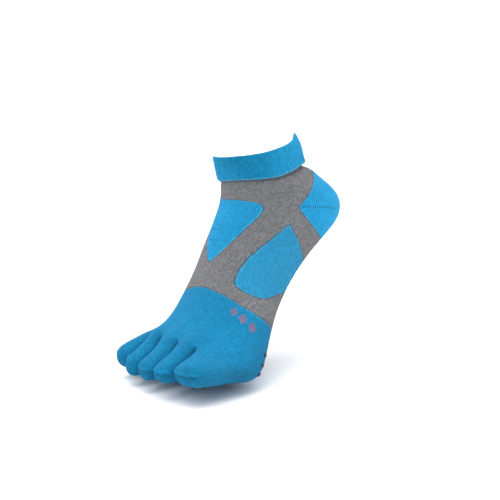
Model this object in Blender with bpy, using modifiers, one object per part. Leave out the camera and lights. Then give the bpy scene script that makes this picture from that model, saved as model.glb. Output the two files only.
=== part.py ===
import math

import bmesh
import bpy
from mathutils import Vector
from mathutils.bvhtree import BVHTree

# Five-toe ankle sock for a right foot, worn on a raised heel.
# Toes point to -Y, the big toe is on the +X side, +Z is up.
# The origin is the centre of the ankle opening.

# Main sizes in metres
FOOT_LENGTH = 0.245
SOCK_HEIGHT = 0.152
BALL_WIDTH = 0.103
HEEL_WIDTH = 0.068
ANKLE_WIDTH = 0.0586
TOE_HEIGHT = 0.018
KNIT_WALL = 0.0015
CUFF_WALL = 0.0020
CUFF_OVERLAP = 0.0050
PANEL_GAP = 0.0003
CUFF_EASE = 0.0006
DOT_DIAMETER = 0.0034
DOT_HEIGHT = 0.0009
DOT_SEAT = 0.0004

# Cross sections from the cuff rim down to the toe roots.
# front and sole points: shares of FOOT_LENGTH (y) and SOCK_HEIGHT (z).
# ankle, heel, ball: the half width as shares of those three widths.
# shift: centre offset as a share of BALL_WIDTH. turn: degrees about Z.
# toes: how far the points crowd to the toe layout. square, drop, crease: form.
# lean, saddle: tilt and saddle of the rim, dip: how far it runs down behind the
# outer ankle bone, all as shares of ANKLE_WIDTH.
SECTIONS = (
    # fy, fz, sy, sz, ankle, heel, ball, shift, turn, toes, square, drop, crease, lean, saddle, dip
    (0.109, 0.911, 0.397, 0.986, 0.473, 0.000, 0.000, -0.042, -9.0, 0.00, 0.00, 0.00, 0.00, 0.068, 0.044, 0.170),
    (0.122, 0.822, 0.407, 0.867, 0.500, 0.000, 0.000, -0.015, -7.5, 0.00, 0.00, 0.00, 0.00, 0.068, 0.038, 0.160),
    (0.127, 0.762, 0.460, 0.807, 0.270, 0.231, 0.000, 0.007, -5.0, 0.00, 0.00, 0.00, 0.00, 0.051, 0.020, 0.090),
    (0.122, 0.728, 0.529, 0.732, 0.000, 0.500, 0.000, 0.019, -1.5, 0.00, 0.00, 0.00, 0.00, 0.026, 0.007, 0.035),
    (0.109, 0.691, 0.558, 0.652, 0.000, 0.494, 0.000, 0.022, 0.0, 0.00, 0.00, 0.00, 0.00, 0.009, 0.000, 0.010),
    (0.091, 0.654, 0.531, 0.574, 0.000, 0.475, 0.000, 0.017, 0.0, 0.00, 0.00, 0.05, 0.00, 0.000, 0.000, 0.000),
    (0.070, 0.601, 0.461, 0.508, 0.000, 0.450, 0.000, 0.012, 0.0, 0.00, 0.00, 0.10, 0.00, 0.000, 0.000, 0.000),
    (0.044, 0.537, 0.375, 0.433, 0.000, 0.300, 0.100, 0.020, 0.0, 0.00, 0.00, 0.10, 0.00, 0.000, 0.000, 0.000),
    (0.019, 0.466, 0.285, 0.350, 0.000, 0.200, 0.179, 0.037, -1.0, 0.10, 0.00, 0.15, 0.00, 0.000, 0.000, 0.000),
    (-0.011, 0.395, 0.201, 0.252, 0.000, 0.100, 0.278, 0.055, -4.0, 0.25, 0.05, 0.20, 0.00, 0.000, 0.000, 0.000),
    (-0.040, 0.330, 0.133, 0.145, 0.000, 0.000, 0.396, 0.076, -7.0, 0.45, 0.10, 0.25, 0.00, 0.000, 0.000, 0.000),
    (-0.071, 0.275, 0.080, 0.037, 0.000, 0.000, 0.457, 0.093, -9.0, 0.70, 0.15, 0.30, 0.00, 0.000, 0.000, 0.000),
    (-0.105, 0.237, 0.028, -0.024, 0.000, 0.000, 0.500, 0.099, -10.5, 0.90, 0.20, 0.25, 0.06, 0.000, 0.000, 0.000),
    (-0.151, 0.215, -0.038, -0.006, 0.000, 0.000, 0.500, 0.084, -14.0, 1.00, 0.25, 0.15, 0.18, 0.000, 0.000, 0.000),
)

# Where the dip is deepest round the section, and how narrow it is
DIP_ANGLE = math.radians(229.0)
DIP_SPREAD = 3

# Where the 24 points of a section sit across the foot at the toe roots,
# as shares of the half width: edge, toe, cleft, toe, cleft and so on
ACROSS = (1.0, 0.975, 0.70, 0.40, 0.235, 0.065, -0.10, -0.265, -0.43, -0.60, -0.79, -0.965, -1.0)

# Toe pockets from the big toe to the little toe.
# length: share of FOOT_LENGTH. widths: shares of BALL_WIDTH.
# heights and rise: shares of TOE_HEIGHT. turn: degrees about Z.
TOES = (
    # length, width root, mid, tip, height root, mid, tip, turn, rise
    (0.144, 0.252, 0.264, 0.232, 1.43, 1.02, 0.88, 4.0, 0.94),
    (0.157, 0.158, 0.154, 0.150, 1.33, 1.00, 0.75, 4.4, 0.77),
    (0.154, 0.150, 0.150, 0.148, 1.27, 0.97, 0.84, 5.0, 0.61),
    (0.152, 0.150, 0.148, 0.146, 1.22, 0.95, 0.85, 5.8, 0.53),
    (0.137, 0.155, 0.165, 0.160, 1.12, 1.05, 0.90, 5.4, 0.63),
)

# Body top under the cuff: height above the cuff's lower edge as a share of
# the overlap, then stations below it, and the share of the cuff's inset
BODY_TOP = ((-1.0, 1.05), (-0.12, 1.32), (0.26, 0.95), (0.80, 0.25))

# Stations along a toe, and how closely each still follows the toe root
TOE_STEPS = ((0.15, 0.72), (0.44, 0.18), (0.84, 0.0), (1.0, 0.0))
TIP_ROUNDING = 0.61

# Panel outlines in the side view as (section station, level).
# Level 0 is the back or sole line and level 1 the front or top line.
FORE_EDGE = (
    (9.08, 1.05), (9.19, 1.00), (9.36, 0.95), (9.54, 0.885), (9.72, 0.755),
    (9.85, 0.54), (9.95, 0.425), (10.15, 0.20), (10.35, 0.00), (10.50, -0.30),
)
INSTEP_OUTLINE = (
    (2.45, 1.15), (2.62, 0.995), (2.76, 0.96), (2.95, 0.92), (3.30, 0.900), (3.80, 0.905), (4.35, 0.918),
    (5.00, 0.928), (5.55, 0.941), (6.17, 0.957), (6.71, 0.972), (7.24, 0.987), (7.60, 0.997), (7.80, 1.06),
    (7.2, 1.20), (5.0, 1.20), (3.2, 1.20),
)
ARCH_OUTLINE = (
    (4.96, 0.695), (5.52, 0.605), (6.06, 0.500), (6.50, 0.400), (6.88, 0.300), (7.18, 0.17), (7.32, 0.00),
    (7.36, -0.15), (7.8, -0.30), (8.35, -0.15), (8.36, 0.00), (8.45, 0.20), (8.57, 0.345), (8.79, 0.475),
    (8.97, 0.575), (8.99, 0.66), (8.96, 0.765), (8.85, 0.850), (8.61, 0.888), (8.23, 0.886), (7.73, 0.865),
    (7.17, 0.830), (6.52, 0.775), (6.05, 0.735), (5.46, 0.710),
)
HEEL_OUTLINE = (
    (1.35, 0.00), (1.32, 0.10), (1.42, 0.20), (1.63, 0.285), (2.22, 0.465), (2.86, 0.600), (3.43, 0.675),
    (4.25, 0.610), (4.98, 0.500), (5.50, 0.365), (5.90, 0.22), (6.35, 0.00), (6.60, -0.15), (5.6, -0.30),
    (4.2, -0.30), (2.8, -0.30), (1.6, -0.20),
)
# Points of the outlines that stay sharp
ARCH_CORNERS = (0,)
HEEL_CORNERS = (6,)

# Grip dots under the ball: each row's section station, and the degrees round
# the section of its first and last dot, from the big toe side under the sole
DOT_ROWS = (
    # station, first, last
    (10.88, -4.0, -168.0),
    (11.35, -6.0, -166.0),
    (11.78, -14.0, -160.0),
    (12.30, -62.0, -152.0),
)
# Place of each dot along its row, as shares of the row
DOT_COLUMNS = (0.0, 0.22, 0.36, 0.48, 0.60, 0.73, 0.86, 1.0)
# Grip dots under the toes: toe, share of its length, share of its width
TOE_DOTS = ((0, 0.60, 0.16), (0, 0.72, 0.0), (1, 0.56, -0.16), (2, 0.58, 0.0), (3, 0.60, 0.0), (4, 0.64, 0.0))

# Width of a dot's flat top as a share of its diameter, and height of its side as a
# share of its height. DOT_START: how far out from the middle its line starts.
DOT_TOP = 0.72
DOT_SIDE = 0.70
DOT_START = 0.72

# The body reaches at most this share of the cuff's height up inside it
OVERLAP_LIMIT = 0.8
# How far the cut of the forefoot runs below the sock, and above its edge, as
# shares of SOCK_HEIGHT
CUT_BELOW = 1.30
CUT_ABOVE = 0.13

# Share of the faces that the faceted solids keep
MESH_SHARE = 0.74
RING = 24
RING_GROW = 6.0 / (4.0 + 2.0 * math.cos(2.0 * math.pi / RING))
TOE_GROW = 6.0 / (4.0 + 2.0 * math.cos(math.pi / 4.0))

for old in list(bpy.data.objects):
    bpy.data.objects.remove(old, do_unlink=True)

sock_collection = bpy.data.collections.new("toe_sock")
bpy.context.scene.collection.children.link(sock_collection)
cutter_collection = bpy.data.collections.new("cutters")
bpy.context.scene.collection.children.link(cutter_collection)


def material(name, colour, roughness):
    mat = bpy.data.materials.new(name)
    mat.use_nodes = True
    shader = mat.node_tree.nodes["Principled BSDF"]
    shader.inputs["Base Color"].default_value = (*colour, 1.0)
    shader.inputs["Roughness"].default_value = roughness
    mat.diffuse_color = (*colour, 1.0)
    return mat


blue_knit = material("blue_knit", (0.035, 0.32, 0.62), 0.85)
grey_knit = material("grey_knit", (0.22, 0.23, 0.24), 0.88)
cuff_knit = material("cuff_knit", (0.025, 0.28, 0.55), 0.85)
heel_knit = material("heel_knit", (0.035, 0.34, 0.62), 0.85)
instep_knit = material("instep_knit", (0.045, 0.36, 0.65), 0.85)
arch_knit = material("arch_knit", (0.040, 0.34, 0.64), 0.85)
grip_rubber = material("grip_rubber", (0.012, 0.014, 0.030), 0.55)


# Table rows in metres, with the origin moved to the centre of the opening
def table_point(row, y_column, z_column):
    return row[y_column] * FOOT_LENGTH, row[z_column] * SOCK_HEIGHT


RIM_FRONT = table_point(SECTIONS[0], 0, 1)
RIM_BACK = table_point(SECTIONS[0], 2, 3)
ORIGIN = Vector((
    SECTIONS[0][7] * BALL_WIDTH,
    (RIM_FRONT[0] + RIM_BACK[0]) / 2.0,
    (RIM_FRONT[1] + RIM_BACK[1]) / 2.0,
))


def section_values(station):
    low = min(int(math.floor(station)), len(SECTIONS) - 2)
    part = station - low
    return [a + (b - a) * part for a, b in zip(SECTIONS[low], SECTIONS[low + 1])]


def section_frame(row, inset=0.0):
    shift = row[7] * BALL_WIDTH
    front = Vector((shift, row[0] * FOOT_LENGTH, row[1] * SOCK_HEIGHT)) - ORIGIN
    back = Vector((shift, row[2] * FOOT_LENGTH, row[3] * SOCK_HEIGHT)) - ORIGIN
    centre = (front + back) / 2.0
    half = (front - back) / 2.0
    half = half * (1.0 - inset / half.length)
    width = row[4] * ANKLE_WIDTH + row[5] * HEEL_WIDTH + row[6] * BALL_WIDTH - inset
    turn = math.radians(row[8])
    side = Vector((math.cos(turn), math.sin(turn), 0.0))
    return centre, half, width, side


def section_point(row, cos_a, sin_a, cleft, inset=0.0):
    centre, half, width, side = section_frame(row, inset)
    power = 1.0 - 0.5 * row[10]
    across = math.copysign(abs(cos_a) ** power, cos_a)
    rise = math.copysign(abs(sin_a) ** power, sin_a) * (1.0 - row[12] * cleft)
    level = rise - row[11] * (1.0 - rise * rise)
    tilt = row[13] * across + row[14] * (1.0 - 2.0 * across * across)
    behind = 0.5 + 0.5 * (cos_a * math.cos(DIP_ANGLE) + sin_a * math.sin(DIP_ANGLE))
    tilt = (tilt - row[15] * behind ** DIP_SPREAD) * ANKLE_WIDTH
    return centre + side * (across * width) + half * level + Vector((0.0, 0.0, tilt))


# Angles of the section points: even round the ankle, crowded at the toes
def section_angles(crowd):
    top = []
    for index in range(13):
        even = index * math.pi / 12.0
        toe = math.acos(max(-1.0, min(1.0, ACROSS[index])))
        top.append(even * (1.0 - crowd) + toe * crowd)
    return top + [-a for a in top[11:0:-1]]


def section_ring(row, inset=0.0):
    points = []
    for index, angle in enumerate(section_angles(row[9])):
        mirrored = index if index <= 12 else RING - index
        cleft = 1.0 if mirrored in (3, 5, 7, 9) else 0.0
        points.append(section_point(row, math.cos(angle), math.sin(angle), cleft, inset))
    middle = sum(points, Vector()) / RING
    return [middle + (p - middle) * RING_GROW for p in points]


# Side view position of a (station, level) pair
def side_point(station, level):
    row = section_values(max(0.0, min(station, len(SECTIONS) - 1.0)))
    centre, half, _width, _side = section_frame(row)
    spot = centre + half * (2.0 * level - 1.0)
    return spot.y, spot.z


def toe_axes(toe):
    turn = math.radians(toe[7])
    return Vector((math.cos(turn), math.sin(turn), 0.0)), Vector((math.sin(turn), -math.cos(turn), 0.0))


# Middle of a toe pocket at a share of its length
def toe_centre(toe, root, share):
    spot = root + toe_axes(toe)[1] * (toe[0] * FOOT_LENGTH * share)
    tip_z = toe[8] * TOE_HEIGHT - ORIGIN.z
    spot.z = root.z * (1.0 - share) + tip_z * share
    return spot


# Coarse cage of the knitted tube, with the five toe pockets when asked
def sheet_cage(rings, toes):
    points = []
    faces = []
    loops = []
    roots = []
    for ring in rings:
        loops.append(list(range(len(points), len(points) + RING)))
        points.extend(ring)
    for upper, lower in zip(loops, loops[1:]):
        for k in range(RING):
            n = (k + 1) % RING
            faces.append((upper[k], upper[n], lower[n], lower[k]))
    last = loops[-1]
    webs = {0: last[0], 5: last[12]}
    for j in range(1, 5):
        webs[j] = len(points)
        points.append((points[last[2 * j + 1]] + points[last[RING - 2 * j - 1]]) / 2.0)
    for j, toe in enumerate(toes):
        over = [last[2 * j + 1], last[2 * j + 2], last[2 * j + 3]]
        under = [last[RING - 2 * j - 3], last[RING - 2 * j - 2], last[RING - 2 * j - 1]]
        before = over + [webs[j + 1]] + under + [webs[j]]
        base = [points[i].copy() for i in before]
        root = sum(base, Vector()) / 8.0
        roots.append(root)
        side, ahead = toe_axes(toe)
        for step, (share, follow) in enumerate(TOE_STEPS):
            width = toe[1] + (toe[2] - toe[1]) * share * 2.0
            height = toe[4] + (toe[5] - toe[4]) * share * 2.0
            if share > 0.5:
                width = toe[2] + (toe[3] - toe[2]) * (share * 2.0 - 1.0)
                height = toe[5] + (toe[6] - toe[5]) * (share * 2.0 - 1.0)
            if step == len(TOE_STEPS) - 1:
                width *= TIP_ROUNDING
                height *= TIP_ROUNDING
            centre = toe_centre(toe, root, share)
            ring = []
            for i in range(8):
                angle = math.radians(45.0 * (i + 1))
                out = side * (math.cos(angle) * width * BALL_WIDTH / 2.0)
                out = out + Vector((0.0, 0.0, math.sin(angle) * height * TOE_HEIGHT / 2.0))
                round_point = centre + out * TOE_GROW
                root_point = base[i] + (centre - root)
                ring.append(len(points))
                points.append(round_point * (1.0 - follow) + root_point * follow)
            for i in range(8):
                n = (i + 1) % 8
                faces.append((before[i], before[n], ring[n], ring[i]))
            before = ring
        tip = len(points)
        points.append(sum((points[i] for i in before), Vector()) / 8.0 + ahead * (0.05 * TOE_HEIGHT))
        for i in range(0, 8, 2):
            faces.append((before[i], before[i + 1], before[(i + 2) % 8], tip))
    return points, faces, roots


def sheet_object(name, points, faces, mat, collection):
    mesh = bpy.data.meshes.new(name)
    mesh.from_pydata([tuple(p) for p in points], [], faces)
    mesh.polygons.foreach_set("use_smooth", [True] * len(mesh.polygons))
    mesh.materials.append(mat)
    obj = bpy.data.objects.new(name, mesh)
    collection.objects.link(obj)
    smooth = obj.modifiers.new("rounding", "SUBSURF")
    smooth.levels = 1
    smooth.render_levels = 1
    thin = obj.modifiers.new("thinning", "DECIMATE")
    thin.ratio = MESH_SHARE
    return obj


def add_wall(obj, wall):
    shell = obj.modifiers.new("wall", "SOLIDIFY")
    shell.thickness = wall
    shell.offset = -1.0
    shell.use_even_offset = False
    shell.use_rim = True


# Smooth curve through side view points, closed or open, with sharp corners
def smooth_line(points, closed, corners=(), steps=2):
    count = len(points)
    line = []
    spans = count if closed else count - 1
    for i in range(spans):
        if closed:
            near = [points[(i + k) % count] for k in (-1, 0, 1, 2)]
        else:
            near = [points[max(0, min(count - 1, i + k))] for k in (-1, 0, 1, 2)]
        if i in corners:
            near[0] = tuple(2.0 * b - c for b, c in zip(near[1], near[2]))
        if (i + 1) % count in corners:
            near[3] = tuple(2.0 * c - b for b, c in zip(near[1], near[2]))
        for s in range(steps):
            t = s / steps
            pair = []
            for axis in (0, 1):
                a, b, c, d = (p[axis] for p in near)
                pair.append(0.5 * (2 * b + (c - a) * t + (2 * a - 5 * b + 4 * c - d) * t * t
                                   + (3 * b - a - 3 * c + d) * t ** 3))
            line.append(tuple(pair))
    if not closed:
        line.append(tuple(points[-1]))
    return line


def polygon_area(line):
    total = 0.0
    for (ay, az), (by, bz) in zip(line, line[1:] + line[:1]):
        total += ay * bz - by * az
    return total / 2.0


# Outline moved outwards by a distance, or inwards when it is negative
def offset_outline(line, distance):
    sign = 1.0 if polygon_area(line) > 0.0 else -1.0
    count = len(line)
    moved = []
    for i in range(count):
        before = Vector(line[i - 1])
        here = Vector(line[i])
        after = Vector(line[(i + 1) % count])
        into = (here - before).normalized()
        away = (after - here).normalized()
        normal_in = Vector((into.y, -into.x))
        normal_out = Vector((away.y, -away.x))
        mid = (normal_in + normal_out).normalized()
        reach = distance * sign / max(0.5, mid.dot(normal_in))
        spot = here + mid * reach
        moved.append((spot.x, spot.y))
    return moved


def outline_prism(name, line):
    reach = BALL_WIDTH
    if polygon_area(line) < 0.0:
        line = line[::-1]
    form = bmesh.new()
    far = [form.verts.new((-reach, y, z)) for y, z in line]
    face = form.faces.new(far)
    grown = bmesh.ops.extrude_face_region(form, geom=[face])
    moved = [v for v in grown["geom"] if isinstance(v, bmesh.types.BMVert)]
    bmesh.ops.translate(form, verts=moved, vec=(2.0 * reach, 0.0, 0.0))
    bmesh.ops.recalc_face_normals(form, faces=form.faces)
    mesh = bpy.data.meshes.new(name)
    form.to_mesh(mesh)
    form.free()
    obj = bpy.data.objects.new(name, mesh)
    obj.hide_render = True
    obj.display_type = "WIRE"
    cutter_collection.objects.link(obj)
    return obj


def cut(obj, cutter, keep_inside):
    knife = obj.modifiers.new("cut_" + cutter.name, "BOOLEAN")
    knife.operation = "INTERSECT" if keep_inside else "DIFFERENCE"
    knife.solver = "EXACT"
    knife.object = cutter


# Rings of the foot tube. The top of the body sits inside the cuff.
cuff_inset = CUFF_WALL + PANEL_GAP + CUFF_EASE
edge_height = (SECTIONS[0][1] - SECTIONS[1][1]) * SOCK_HEIGHT
overlap = min(OVERLAP_LIMIT, CUFF_OVERLAP / edge_height)
tube_rings = [
    section_ring(section_values(1.0 + step * overlap), cuff_inset * share)
    for step, share in BODY_TOP
]
tube_rings.extend(section_ring(row) for row in SECTIONS[2:])
tube_points, tube_faces, toe_roots = sheet_cage(tube_rings, TOES)

# Side view outlines in metres
instep_line = smooth_line([side_point(s, v) for s, v in INSTEP_OUTLINE], True)
arch_line = smooth_line([side_point(s, v) for s, v in ARCH_OUTLINE], True, ARCH_CORNERS)
heel_line = smooth_line([side_point(s, v) for s, v in HEEL_OUTLINE], True, HEEL_CORNERS)
fore_line = smooth_line([side_point(s, v) for s, v in FORE_EDGE], False)
low_z = -SOCK_HEIGHT * CUT_BELOW
high_z = fore_line[0][1] + SOCK_HEIGHT * CUT_ABOVE
ahead_y = -FOOT_LENGTH
fore_line = fore_line + [(fore_line[-1][0], low_z), (ahead_y, low_z)]
fore_line = fore_line + [(ahead_y, high_z), (fore_line[0][0], high_z)]

half_gap = PANEL_GAP / 2.0
wide_cutters = {}
panel_cutters = {}
for label, line in (("toe", fore_line), ("instep", instep_line), ("arch", arch_line), ("heel", heel_line)):
    wide_cutters[label] = outline_prism("clear_" + label, offset_outline(line, half_gap))
    panel_cutters[label] = outline_prism("keep_" + label, offset_outline(line, -half_gap))

# Grey support knit of the foot, cut away where the blue panels sit
foot_body = sheet_object("foot_body", tube_points, tube_faces, grey_knit, sock_collection)
add_wall(foot_body, KNIT_WALL)
for label in ("toe", "instep", "arch", "heel"):
    cut(foot_body, wide_cutters[label], False)

# Forefoot with the five toe pockets, knitted in one piece
toe_section = sheet_object("toe_section", tube_points, tube_faces, blue_knit, sock_collection)
add_wall(toe_section, KNIT_WALL)
cut(toe_section, panel_cutters["toe"], True)

# Blue panels over the instep, round the arch and round the heel
for label, name, mat in (
    ("instep", "instep_panel", instep_knit),
    ("arch", "arch_panel", arch_knit),
    ("heel", "heel_pocket", heel_knit),
):
    panel = sheet_object(name, tube_points, tube_faces, mat, sock_collection)
    add_wall(panel, KNIT_WALL)
    cut(panel, panel_cutters[label], True)

# Double welt of the cuff, a separate band outside the body's top edge
cuff_rings = [section_ring(section_values(s)) for s in (0.0, 0.5, 1.0)]
cuff_points, cuff_faces, _none = sheet_cage(cuff_rings, ())
cuff_points = cuff_points[:len(cuff_rings) * RING]
cuff = sheet_object("cuff", cuff_points, cuff_faces, cuff_knit, sock_collection)
add_wall(cuff, CUFF_WALL)

# Surface that the grip dots sit on
probe = sheet_object("probe", tube_points, tube_faces, grey_knit, cutter_collection)
bpy.context.view_layer.update()
sole = BVHTree.FromObject(probe, bpy.context.evaluated_depsgraph_get())
bpy.data.objects.remove(probe, do_unlink=True)


def grip_dot(name, inside, direction):
    spot, normal, _face, _reach = sole.ray_cast(inside, direction)
    if normal.dot(direction) < 0.0:
        normal = -normal
    turn = normal.to_track_quat("Z", "Y")
    form = bmesh.new()
    bmesh.ops.create_cone(
        form, cap_ends=True, segments=8, radius1=DOT_DIAMETER / 2.0,
        radius2=DOT_DIAMETER * DOT_TOP / 2.0, depth=DOT_HEIGHT * DOT_SIDE,
    )
    bmesh.ops.translate(form, verts=form.verts, vec=(0.0, 0.0, DOT_HEIGHT * DOT_SIDE / 2.0))
    crown = max(form.faces, key=lambda f: f.calc_center_median().z)
    bmesh.ops.poke(form, faces=[crown], offset=DOT_HEIGHT * (1.0 - DOT_SIDE))
    mesh = bpy.data.meshes.new(name)
    form.to_mesh(mesh)
    form.free()
    mesh.polygons.foreach_set("use_smooth", [True] * len(mesh.polygons))
    mesh.materials.append(grip_rubber)
    mesh.transform(turn.to_matrix().to_4x4())
    base = spot + normal * DOT_SEAT
    for vertex in mesh.vertices:
        vertex.co = vertex.co + base
    obj = bpy.data.objects.new(name, mesh)
    sock_collection.objects.link(obj)


number = 1
for station, first, last in DOT_ROWS:
    row = section_values(station)
    centre, half, width, side = section_frame(row)
    for share in DOT_COLUMNS:
        angle = math.radians(first + (last - first) * share)
        target = section_point(row, math.cos(angle), math.sin(angle), 0.0)
        inside = centre + side * (DOT_START * width * math.cos(angle)) - half * (0.5 * row[11])
        grip_dot("grip_dot_%02d" % number, inside, (target - inside).normalized())
        number += 1

for index, share, across in TOE_DOTS:
    toe = TOES[index]
    inside = toe_centre(toe, toe_roots[index], share) + toe_axes(toe)[0] * (across * toe[2] * BALL_WIDTH)
    grip_dot("grip_dot_%02d" % number, inside, Vector((0.0, 0.0, -1.0)))
    number += 1
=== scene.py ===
import math

import bpy
import numpy as np
from mathutils import Matrix, Vector, noise
from mathutils.bvhtree import BVHTree


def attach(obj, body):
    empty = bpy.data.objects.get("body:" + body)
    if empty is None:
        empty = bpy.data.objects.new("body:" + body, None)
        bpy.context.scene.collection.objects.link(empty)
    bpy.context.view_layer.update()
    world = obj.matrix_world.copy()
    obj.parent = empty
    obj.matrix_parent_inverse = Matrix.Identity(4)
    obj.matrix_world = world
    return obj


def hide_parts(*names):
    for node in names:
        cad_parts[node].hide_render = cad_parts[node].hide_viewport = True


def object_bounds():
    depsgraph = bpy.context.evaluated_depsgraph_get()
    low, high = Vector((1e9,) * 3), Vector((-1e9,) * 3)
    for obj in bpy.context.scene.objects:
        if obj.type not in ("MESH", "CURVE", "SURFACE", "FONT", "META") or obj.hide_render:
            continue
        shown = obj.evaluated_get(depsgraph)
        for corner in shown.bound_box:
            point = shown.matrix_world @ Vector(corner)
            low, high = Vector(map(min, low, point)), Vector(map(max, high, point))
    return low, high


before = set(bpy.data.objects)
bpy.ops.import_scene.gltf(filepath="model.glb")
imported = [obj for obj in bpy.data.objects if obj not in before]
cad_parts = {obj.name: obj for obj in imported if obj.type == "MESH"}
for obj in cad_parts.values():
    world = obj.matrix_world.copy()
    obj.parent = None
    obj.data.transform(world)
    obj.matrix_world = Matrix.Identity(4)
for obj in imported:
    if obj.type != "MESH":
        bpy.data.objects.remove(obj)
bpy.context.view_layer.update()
bpy.ops.object.select_all(action="DESELECT")

# The knitted tube.
# A five-toe sock is knitted in the round on one needle bed, cuff last, so the grey foot and
# the blue panels share one running surface. Every panel below is cut from this surface.

# Main sizes in metres
foot_length = 0.245
sock_height = 0.152
ball_width = 0.103
heel_width = 0.068
ankle_width = 0.0586
toe_height = 0.018
knit_wall = 0.0015
cuff_wall = 0.0020
cuff_overlap = 0.0050
cuff_clearance = 0.0009

# Stitches: columns for each of the 24 cage columns, and a stitch's height and width in metres
ring_points = 24
stitches_a_column = 8
course_height = 0.00095
wale_width = 0.0011

# Cross sections from the cuff rim down to the toe roots.
# front and sole points: shares of foot_length (y) and sock_height (z).
# ankle, heel, ball: the half width as shares of those three widths.
# shift: centre offset as a share of ball_width. turn: degrees about Z.
# toes: how far the points crowd to the toe layout. square, drop, crease: form.
# lean, saddle: tilt and saddle of the rim, dip: how far it runs down behind the
# outer ankle bone, all as shares of ankle_width.
sections = (
    # fy, fz, sy, sz, ankle, heel, ball, shift, turn, toes, square, drop, crease, lean, saddle, dip
    (0.109, 0.911, 0.397, 0.986, 0.473, 0, 0, -0.042, -9, 0, 0, 0, 0, 0.068, 0.044, 0.17),
    (0.122, 0.822, 0.407, 0.867, 0.5, 0, 0, -0.015, -7.5, 0, 0, 0, 0, 0.068, 0.038, 0.16),
    (0.127, 0.762, 0.46, 0.807, 0.27, 0.231, 0, 0.007, -5, 0, 0, 0, 0, 0.051, 0.02, 0.09),
    (0.122, 0.728, 0.529, 0.732, 0, 0.5, 0, 0.019, -1.5, 0, 0, 0, 0, 0.026, 0.007, 0.035),
    (0.109, 0.691, 0.558, 0.652, 0, 0.494, 0, 0.022, 0, 0, 0, 0, 0, 0.009, 0, 0.01),
    (0.091, 0.654, 0.531, 0.574, 0, 0.475, 0, 0.017, 0, 0, 0, 0.05, 0, 0, 0, 0),
    (0.07, 0.601, 0.461, 0.508, 0, 0.45, 0, 0.012, 0, 0, 0, 0.1, 0, 0, 0, 0),
    (0.044, 0.537, 0.375, 0.433, 0, 0.3, 0.1, 0.02, 0, 0, 0, 0.1, 0, 0, 0, 0),
    (0.019, 0.466, 0.285, 0.35, 0, 0.2, 0.179, 0.037, -1, 0.1, 0, 0.15, 0, 0, 0, 0),
    (-0.011, 0.395, 0.201, 0.252, 0, 0.1, 0.278, 0.055, -4, 0.25, 0.05, 0.2, 0, 0, 0, 0),
    (-0.04, 0.33, 0.133, 0.145, 0, 0, 0.396, 0.076, -7, 0.45, 0.1, 0.25, 0, 0, 0, 0),
    (-0.071, 0.275, 0.08, 0.037, 0, 0, 0.457, 0.093, -9, 0.7, 0.15, 0.3, 0, 0, 0, 0),
    (-0.105, 0.237, 0.028, -0.024, 0, 0, 0.5, 0.099, -10.5, 0.9, 0.2, 0.25, 0.06, 0, 0, 0),
    (-0.151, 0.215, -0.038, -0.006, 0, 0, 0.5, 0.084, -14, 1, 0.25, 0.15, 0.18, 0, 0, 0),
)

# Where the dip is deepest round the section, and how narrow it is
dip_angle = math.radians(229.0)
dip_spread = 3

# Where the points of a section sit across the foot at the toe roots, as shares
# of the half width: edge, toe, cleft, toe, cleft and so on
across_shares = (1.0, 0.975, 0.70, 0.40, 0.235, 0.065, -0.10, -0.265, -0.43, -0.60, -0.79, -0.965, -1.0)

# Toe pockets from the big toe to the little toe.
# length: share of foot_length. widths: shares of ball_width.
# heights and rise: shares of toe_height. turn: degrees about Z.
toes = (
    # length, width root, mid, tip, height root, mid, tip, turn, rise
    (0.144, 0.252, 0.264, 0.232, 1.43, 1.02, 0.88, 4, 0.94),
    (0.157, 0.158, 0.154, 0.15, 1.33, 1, 0.75, 4.4, 0.77),
    (0.154, 0.15, 0.15, 0.148, 1.27, 0.97, 0.84, 5, 0.61),
    (0.152, 0.15, 0.148, 0.146, 1.22, 0.95, 0.85, 5.8, 0.53),
    (0.137, 0.155, 0.165, 0.16, 1.12, 1.05, 0.9, 5.4, 0.63),
)

# Stitch columns round each toe, as a share of those at the foot's spacing, and how much of
# that change each step along a toe has
toe_wales = (0.70, 0.45, 0.45, 0.45, 0.475)
wale_change = (0.35, 1.0, 1.0, 1.0)

# Top of the tube, hidden under the cuff: stations over the cuff's lower edge as
# shares of the overlap, and how far inside the cuff each ring runs
hidden_top = ((-1.0, 1.05), (-0.12, 1.32), (0.26, 0.95), (0.80, 0.25))

# Stations along a toe, and how closely each still follows the toe root
toe_steps = ((0.15, 0.72), (0.44, 0.18), (0.84, 0.0), (1.0, 0.0))
tip_rounding = 0.61

rim_front = (sections[0][0] * foot_length, sections[0][1] * sock_height)
rim_back = (sections[0][2] * foot_length, sections[0][3] * sock_height)
opening_centre = Vector((
    sections[0][7] * ball_width,
    (rim_front[0] + rim_back[0]) / 2.0,
    (rim_front[1] + rim_back[1]) / 2.0,
))


def section_at(station):
    low = min(int(math.floor(station)), len(sections) - 2)
    part = station - low
    return [a + (b - a) * part for a, b in zip(sections[low], sections[low + 1])]


def section_axes(row, inset=0.0):
    shift = row[7] * ball_width
    front = Vector((shift, row[0] * foot_length, row[1] * sock_height)) - opening_centre
    back = Vector((shift, row[2] * foot_length, row[3] * sock_height)) - opening_centre
    half = (front - back) / 2.0
    half = half * (1.0 - inset / half.length)
    width = row[4] * ankle_width + row[5] * heel_width + row[6] * ball_width - inset
    turn = math.radians(row[8])
    return (front + back) / 2.0, half, width, Vector((math.cos(turn), math.sin(turn), 0.0))


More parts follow.
